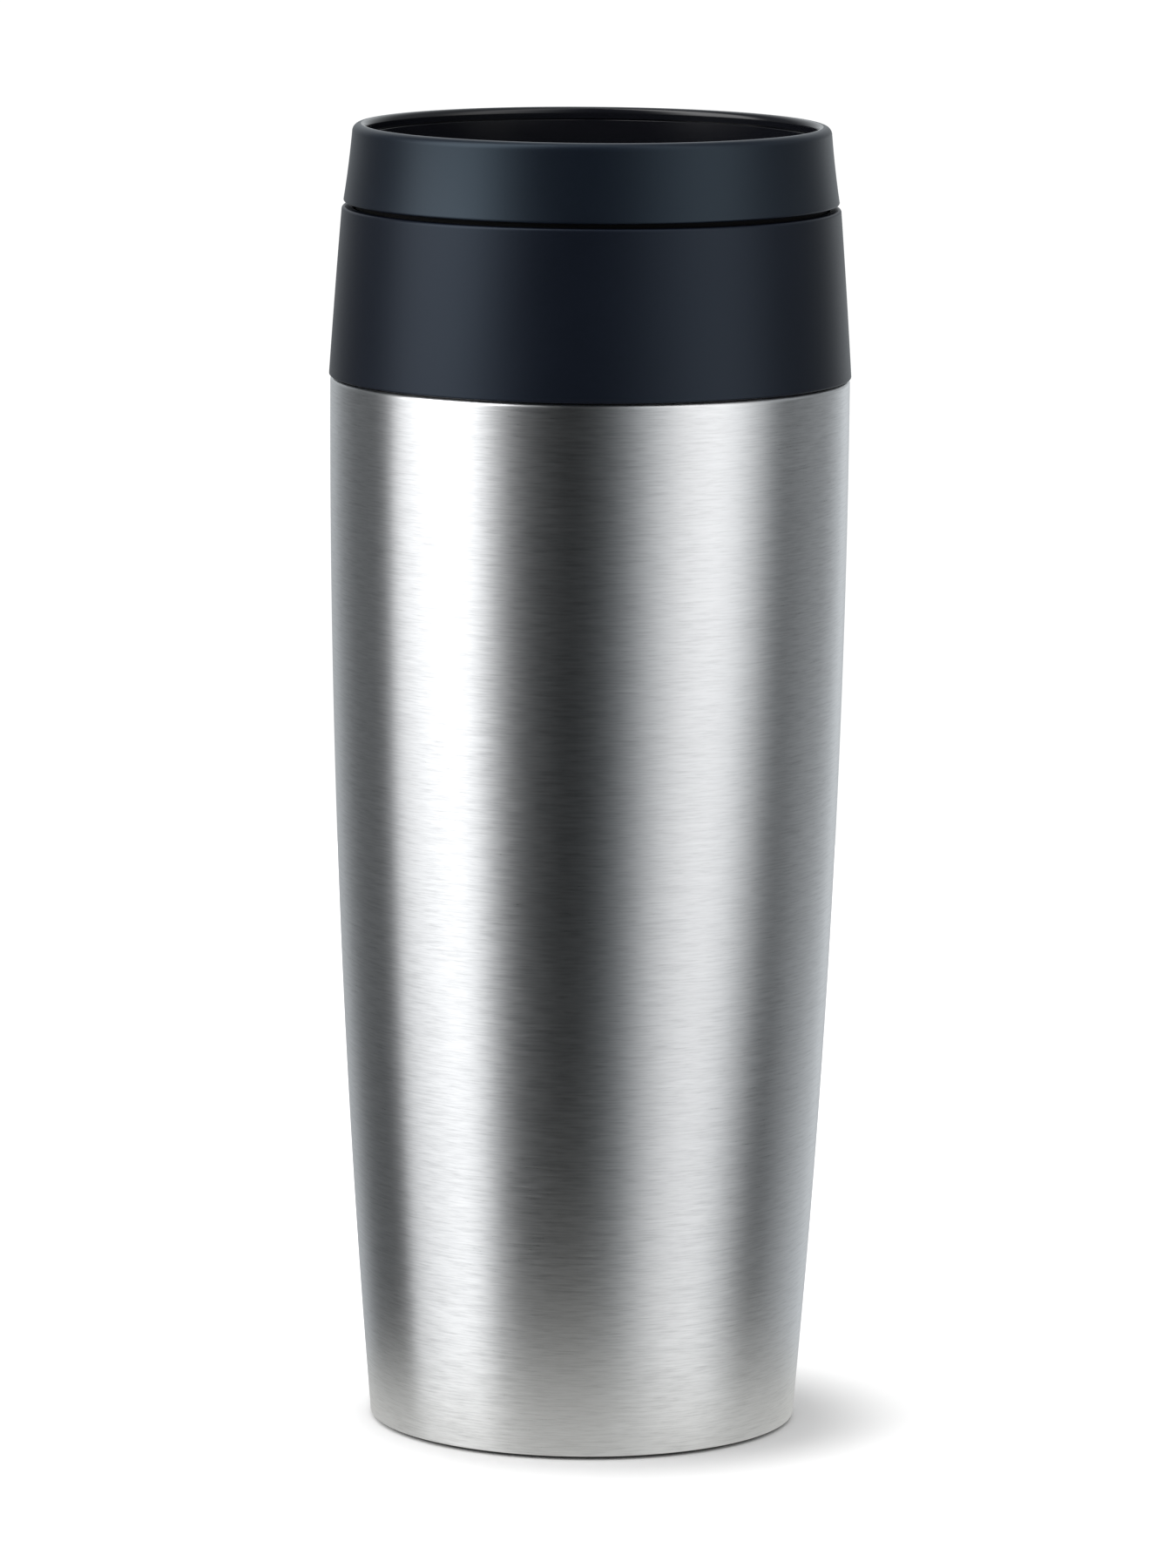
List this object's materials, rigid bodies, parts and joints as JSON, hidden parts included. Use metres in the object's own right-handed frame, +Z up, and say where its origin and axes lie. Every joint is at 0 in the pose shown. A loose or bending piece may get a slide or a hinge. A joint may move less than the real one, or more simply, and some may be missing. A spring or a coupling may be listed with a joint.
{
  "type": "insulated travel mug",
  "caption": "Vacuum-walled steel travel mug, slightly tapered, with a black neck sleeve and a screw-in lid whose centre button opens a gap all round the rim.",
  "frame": {"origin": "middle of the foot's underside, on the mug's axis", "axes": "+Z up along the mug's axis, from the foot to the drinking rim; X and Y are equal, and +X runs midway between two of the lid's spokes"},
  "size_m": [0.0796, 0.0796, 0.2],
  "materials": {
    "steel_brushed": "fine circumferential brushing",
    "steel_satin": "satin, electropolished",
    "steel_spring": "bright drawn wire and pressed parts",
    "plastic_matt_black": "matt, soft blue-black",
    "plastic_gloss_black": "gloss",
    "plastic_dark_grey": "moulded, satin",
    "plastic_natural": "natural acetal, satin",
    "silicone_black": "matt",
    "silicone_grey": "matt",
    "glass_bead": "opaque glass solder",
    "getter_metal": "sintered, dull"
  },
  "bodies": {
    "cup": {"outer_shell": "steel_brushed", "inner_liner": "steel_satin", "base_plate": "steel_satin", "vacuum_plug": "glass_bead", "getter": "getter_metal", "foot_pad": "silicone_black", "sleeve": "plastic_matt_black"},
    "gasket": {"lid_gasket": "silicone_grey"},
    "lid": {"lid_body": "plastic_gloss_black", "valve_guide": "plastic_gloss_black", "lid_collar": "plastic_matt_black", "cam_sleeve": "plastic_natural", "wiper_seal": "silicone_grey", "stem_seal": "silicone_grey", "return_spring": "steel_spring"},
    "button": {"button_cap": "plastic_gloss_black", "button_carrier": "plastic_dark_grey", "valve_stem": "plastic_dark_grey", "stem_clip": "steel_spring", "valve_plate": "plastic_dark_grey", "valve_seal": "silicone_grey", "thrust_washer": "steel_spring"},
    "index": {"index_ring": "plastic_natural"}
  },
  "joints": [
    {"name": "lid_lift", "type": "slide", "parent": "cup", "child": "gasket", "axis": [0, 0, 1], "range_m": [0, 0.036]},
    {"name": "lid_turn", "type": "hinge", "parent": "gasket", "child": "lid", "pos_m": [0, 0, 0.175], "axis": [0, 0, 1], "range_deg": [0, 1080]},
    {"name": "button_press", "type": "slide", "parent": "lid", "child": "button", "axis": [0, 0, -1], "range_m": [0, 0.006], "stiffness_N_per_m": 400, "springref_m": -0.008, "deforming": ["return_spring"]},
    {"name": "index_turn", "type": "hinge", "parent": "button", "child": "index", "pos_m": [0, 0, 0.1764], "axis": [0, 0, 1], "range_deg": [-30, 0]}
  ],
  "couplings": [
    {"joint": "lid_lift", "follows": "lid_turn", "m_per_rad": 0.0019099},
    {"joint": "index_turn", "follows": "button_press", "rad_per_m": -87.266}
  ]
}
